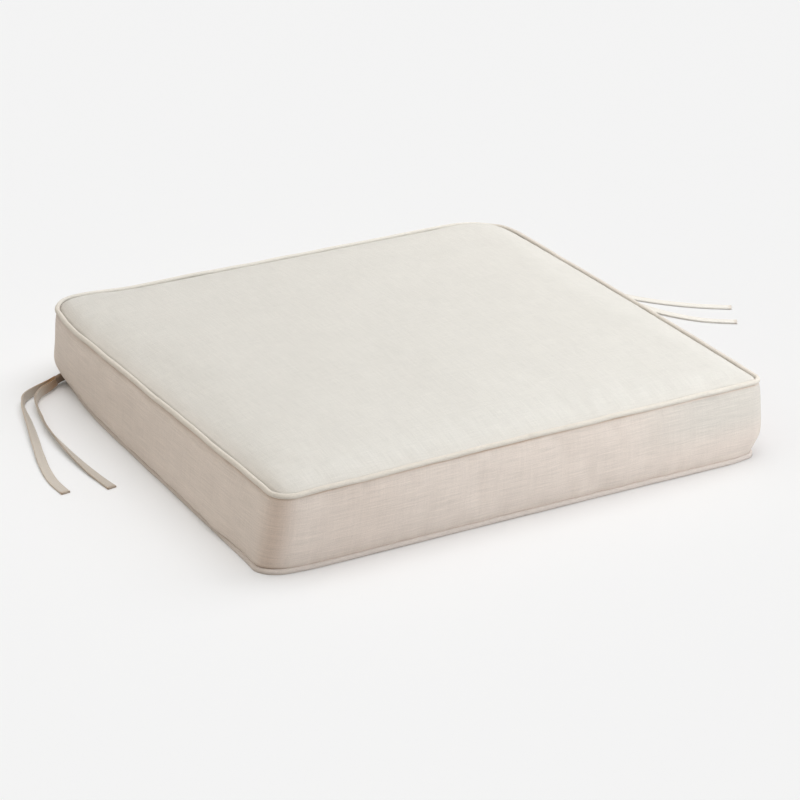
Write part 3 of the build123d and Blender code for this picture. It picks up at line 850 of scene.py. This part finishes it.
def make_zip_boxing(name, low, high, fold):
    """A rear boxing strip with its folded edge beside the zip; fold is 1 where that is its upper edge."""
    fold_z = high if fold > 0 else low
    rows, columns = np.linspace(low, high, 13), np.linspace(-STRIP_END_X, STRIP_END_X, 81)
    x, z = flat_grid(columns, rows)
    from_fold = np.abs(z - fold_z)
    out = 0.0006 * bell(from_fold, 0.004) - 0.0004 * bell(from_fold - TOPSTITCH_FROM_FOLD, 0.0012)
    slack = smooth((from_fold - 0.004) / 0.01) * smooth((0.200 - np.abs(x)) / 0.03)
    out = out + 0.0006 * slack * (ripple(x, z, 0.035, 41 + fold) * 0.6 + 0.6)
    strip = mesh_piece(f"zip_boxing_{name}_cloth", np.column_stack([x, STRIP_FACE_Y + out, z]),
                       strip_faces(len(rows), len(columns), flip=True), np.column_stack([x, z, 0 * x]),
                       boxing_cloth)
    finish_cover(strip, f"zip_boxing_{name}")
    line_x = np.linspace(-TOPSTITCH_END_X, TOPSTITCH_END_X, 200)
    line_z = np.full(200, fold_z - fold * TOPSTITCH_FROM_FOLD)
    line = np.column_stack([line_x, np.full(200, STRIP_FACE_Y), line_z])
    sewing = mesh_piece(f"zip_topstitch_{name}", *stitches(line, (0.0, 1.0, 0.0), 0.0003), thread,
                        settled=False)


make_zip_boxing("lower", 0.0036, 0.0320, 1)
make_zip_boxing("upper", 0.0440, 0.0722, -1)

# ---------------------------------------------------------------- piping
PIPING_POINTS, PIPING_SIDES = 720, 20
FOLD_PITCH = 0.0032
STRANDS = 3
STRAND_TURNS = round(PERIMETER / 0.0090)
SQUARENESS = 10          # how square the low piping's outer underside is pressed


def make_piping(name, height, seed, material, strand_lay, strand_radius):
    """A bias-cut sleeve along a seam, and the twisted cord inside it."""
    s = np.linspace(0, PERIMETER, PIPING_POINTS, endpoint=False)
    centre, normal = outline(s)
    turn = s / PERIMETER * 2 * np.pi
    at_back = smooth((centre[:, 1] - 0.225) / 0.02)
    wander = 0.0004 * ripple(np.cos(turn) * 3.0, np.sin(turn) * 3.0, 0.35, seed)
    lift = 0.0004 * ripple(np.cos(turn) * 3.0, np.sin(turn) * 3.0, 0.30, seed + 1)
    if name == "top":
        wander = wander + 0.00035 * ripple(np.cos(turn) * 0.31, np.sin(turn) * 0.31, 0.022, seed + 5)
        lift = lift + 0.0004 * at_back
    else:
        lift = np.abs(lift) * 0.6
    line = settle(np.column_stack([centre + normal * wander[:, None], height + lift]))

    def cloth_folds(along, angle):
        slant = along / FOLD_PITCH + angle * 0.5
        fine = ripple(np.cos(slant) * 2 + along / 0.05, np.sin(slant) * 2, 0.8, seed + 2)
        size = 1 + 0.022 * fine + 0.02 * ripple(along, angle, 0.02, seed + 3)
        if name == "bottom":
            under = (np.sin(angle) < 0) & (np.cos(angle) > 0)
            flat = np.sin(angle) * PIPING_RADIUS / BOTTOM_SEAM_Z
            squared = (np.cos(angle) ** SQUARENESS + flat**SQUARENESS) ** (-1 / SQUARENESS)
            size = size * np.where(under, squared, 1.0)
        return size

    points, faces, cloth = tube(line, PIPING_RADIUS, PIPING_SIDES, closed=True, bumps=cloth_folds)
    if name == "top":
        # Painted light: the back run painted lighter, as if lit from behind; the front's right end a touch
        # lighter.
        front_right = smooth(centre[:, 0] / 0.2) * smooth((-0.235 - centre[:, 1]) / 0.01)
        cloth[:, 2] = np.repeat(0.20 - 0.10 * at_back - 0.02 * front_right, PIPING_SIDES)
    points[:, 2] = np.maximum(points[:, 2], 0.05 * MM)
    piping = mesh_piece(f"{name}_piping_cloth", points, faces, cloth, material, settled=False)
    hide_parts(f"{name}_piping_sleeve")

    strands = []
    for number in range(STRANDS):
        phase = turn * STRAND_TURNS + number * 2 * np.pi / STRANDS
        place = centre + normal * (strand_lay * np.cos(phase))[:, None]
        strand = settle(np.column_stack([place, height + strand_lay * np.sin(phase)]))
        strands.append(tube(strand, strand_radius, 6, closed=True))
    cord = mesh_piece(f"{name}_piping_filler", *joined(strands), filler, settled=False)
    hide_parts(f"{name}_piping_cord")


make_piping("top", TOP_SEAM_Z, 51, top_piping_cloth, 0.00085, 0.00092)
make_piping("bottom", BOTTOM_SEAM_Z, 61, shaded_low_piping_cloth, 0.00060, 0.00075)

# ---------------------------------------------------------------- foam and wadding inside
REAR_INSET = 0.0080
SLAB_STEP = 0.012
SLAB_ROWS = 4


def slab(inset, low, high):
    """A closed block between two height functions of (x, y, edge), drawn in more at the back."""
    x, y, edge, quads, loop = panel_grid(inset, SLAB_STEP)
    y = y - (REAR_INSET - inset) * smooth((y + 0.24) / 0.48)
    top = np.column_stack([x, y, high(x, y, edge)])
    bottom = np.column_stack([x, y, low(x, y, edge)])
    rings = []
    for row in range(1, SLAB_ROWS):
        t = row / SLAB_ROWS
        rings.append(bottom[loop] * (1 - t) + top[loop] * t)
    points = np.concatenate([top, bottom, *rings])
    n, k = len(x), len(loop)
    faces = quads.tolist() + (quads[:, ::-1] + n).tolist()
    chain = [loop + n] + [2 * n + np.arange(k) + i * k for i in range(SLAB_ROWS - 1)] + [loop]
    for a, b in zip(chain, chain[1:]):
        a2, b2 = np.roll(a, -1), np.roll(b, -1)
        faces += np.stack([a, a2, b2, b], -1).tolist()
    return points, faces, points.copy()


def level(height, edge_change, reach):
    """A flat height that changes close to the edge."""
    return lambda x, y, edge: height + edge_change * np.exp(-edge / reach)


def under_top(x, y, edge):
    return TOP_SEAM_Z + crown(x, y, edge) - 0.0030 - 0.0020 * np.exp(-edge / 0.005)


# Piece, node, slot, material, fill, inset, underside and top.
FILLINGS = (
    ("foam_block", "foam_core", "foam", foam_cells, 1.0, 0.0066,
     level(0.0052, 0.0015, 0.004), level(0.0656, -0.0020, 0.004)),
    ("wadding_sheet_lower", "lower_wadding", "wadding", wadding_fibre, 0.5, 0.0068,
     level(0.0021, 0.0, 0.005), level(0.0049, -0.0012, 0.005)),
    ("wadding_sheet_upper", "upper_wadding", "wadding", wadding_fibre, 0.5, 0.0072,
     level(0.0658, -0.0014, 0.004), under_top),
)
for name, node, slot, material, fill, inset, low, high in FILLINGS:
    filling = mesh_piece(name, *slab(inset, low, high), material)
    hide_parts(node)

# ---------------------------------------------------------------- zip
TAPE_THICKNESS = 0.0004
TAPE_RIB = 0.0012
COIL_PITCH, COIL_TURN_POINTS = 0.0015, 10
COIL_WIRE = 0.00034


def make_zip_tape(name):
    """A ribbed tape as long as the CAD one."""
    low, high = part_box(f"zip_tape_{name}")
    columns, rows = np.linspace(low.x, high.x, 101), np.linspace(low.z, high.z, 9)
    x, z = flat_grid(columns, rows)
    ribs = 0.00008 * np.cos((z - ZIP_Z) / TAPE_RIB * np.pi)
    tape = mesh_piece(f"zip_tape_{name}_cloth", np.column_stack([x, TAPE_FACE_Y - 0.00012 + ribs, z]),
                      strip_faces(len(rows), len(columns), flip=True), np.column_stack([x, z, 0 * x]),
                      tape_cloth, settled=False)
    thickened(tape, TAPE_THICKNESS)
    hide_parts(f"zip_tape_{name}")


def make_zip_coil(name, side):
    """A coil of nylon in the CAD one's box; side is -1 for the lower coil and 1 for the upper."""
    low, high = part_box(f"zip_coil_{name}")
    turns = int((high.x - low.x - 0.001) / COIL_PITCH)
    t = np.arange(turns * COIL_TURN_POINTS + 1) / COIL_TURN_POINTS
    middle_y, middle_z = (low.y + high.y) / 2 - 0.00006, (low.z + high.z) / 2 - side * 0.00012
    reach_y, reach_z = (high.y - low.y) / 2 - 0.00040, (high.z - low.z) / 2 - 0.00022
    line = np.column_stack([
        low.x + 0.0005 + t * COIL_PITCH,
        middle_y + reach_y * np.sin(2 * np.pi * t),
        middle_z + reach_z * np.cos(2 * np.pi * t),
    ])
    coil = mesh_piece(f"zip_coil_{name}_loops", *tube(line, COIL_WIRE, 5), nylon, settled=False)
    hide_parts(f"zip_coil_{name}")


for name, side in (("lower", -1), ("upper", 1)):
    make_zip_tape(name)
    make_zip_coil(name, side)
for name in ("zip_closed_stops", "zip_open_stop", "zip_slider", "zip_pull"):
    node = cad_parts[name]
    node.data.materials.clear()
    node.data.materials.append(enamel)

# ---------------------------------------------------------------- floor
FLOOR_REACH = 15
FLOOR_COLOUR = (0.934, 0.931, 0.938, 1)
floor_corners = [(x * FLOOR_REACH, y * FLOOR_REACH, 0) for x, y in ((-1, -1), (1, -1), (1, 1), (-1, 1))]
floor_mesh = bpy.data.meshes.new("floor")
floor_mesh.from_pydata(floor_corners, [], [(0, 1, 2, 3)])
floor = bpy.data.objects.new("floor", floor_mesh)
scene.collection.objects.link(floor)
floor.location.z = -0.02 * MM
floor_material = bpy.data.materials.new("pale_floor")
floor_material.use_nodes = True
floor_shader = floor_material.node_tree.nodes["Principled BSDF"]
floor_shader.inputs["Base Color"].default_value = FLOOR_COLOUR
floor_shader.inputs["Roughness"].default_value = 1.0
floor_shader.inputs["Specular IOR Level"].default_value = 0.0
floor_mesh.materials.append(floor_material)
floor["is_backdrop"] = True

# ---------------------------------------------------------------- studio light
# The world is a sum of wide soft boxes, each with its direction and colour.
SOFT_BOXES = (
    ((0, 0, 1), (0.782, 0.782, 0.782)),
    ((-1, 0, 0.35), (0.515, 0.530, 0.490)),
    ((0, 1, 0.35), (0.200, 0.200, 0.200)),
)
WALL = (0.905, 0.905, 0.905)
# Name, direction it comes from, strength and width in degrees.
SUNS = (("sun_high", (0.15, -0.05, 1.0), 1.041, 60), ("sun_right", (1.0, 0.0, 0.9), 0.42, 40))
# Name, place, watts and colour.
LAMPS = (
    ("lamp_front", (0.62, -1.12, 0.62), 9.8, (0.95, 1.0, 1.05)),
    ("lamp_back", (0.9, 0.8, 0.8), 7.1, (1.0, 1.0, 1.0)),
    ("lamp_left", (-1.3, -0.2, 0.4), 0.6, (1.0, 0.50, 0.10)),
)
LAMP_SIZE = 0.6
LAMP_AIM = Vector((0.1, 0, 0))


def light_world():
    """The soft boxes light the pad and the floor; the camera itself sees one even wall."""
    world = bpy.data.worlds.new("studio")
    scene.world = world
    world.use_nodes = True
    sky = world.node_tree
    toward = add_node(sky, "ShaderNodeTexCoord").outputs["Generated"]
    light = (0.0, 0.0, 0.0)
    for direction, colour in SOFT_BOXES:
        facing = add_node(sky, "ShaderNodeVectorMath", {"operation": "DOT_PRODUCT"}, i0=toward,
                          i1=Vector(direction).normalized()).outputs["Value"]
        strength = maths(sky, "POWER", maths(sky, "MAXIMUM", facing, 0.0), 2.0)
        light = vector_maths(sky, "ADD", light, i1=vector_maths(sky, "SCALE", colour, i3=strength))
    seen = add_node(sky, "ShaderNodeLightPath").outputs["Is Camera Ray"]
    mixed = add_node(sky, "ShaderNodeMix", {"data_type": "VECTOR"}, i0=seen, i4=light, i5=WALL).outputs[1]
    background = sky.nodes["Background"]
    sky.links.new(mixed, background.inputs["Color"])
    background.inputs["Strength"].default_value = 1.0


def add_sun(name, direction, energy, angle):
    sun = bpy.data.objects.new(name, bpy.data.lights.new(name, "SUN"))
    sun.data.energy = energy
    sun.data.angle = math.radians(angle)
    sun.rotation_mode = "QUATERNION"
    sun.rotation_quaternion = Vector(direction).to_track_quat("Z", "Y")
    scene.collection.objects.link(sun)


def add_lamp(name, spot, energy, colour, lit):
    lamp = bpy.data.objects.new(name, bpy.data.lights.new(name, "AREA"))
    lamp.data.shape = "DISK"
    lamp.data.size = LAMP_SIZE
    lamp.data.energy = energy
    lamp.data.color = colour
    lamp.location = spot
    lamp.rotation_mode = "QUATERNION"
    lamp.rotation_quaternion = (Vector(spot) - LAMP_AIM).to_track_quat("Z", "Y")
    lamp.light_linking.receiver_collection = lit
    scene.collection.objects.link(lamp)


light_world()
for sun in SUNS:
    add_sun(*sun)
# The lamps light the pad alone, so that it is shaded from side to side and the floor stays even.
lit_by_lamps = bpy.data.collections.new("lit_by_lamps")
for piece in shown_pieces():
    lit_by_lamps.objects.link(piece)
for lamp in LAMPS:
    add_lamp(*lamp, lit_by_lamps)
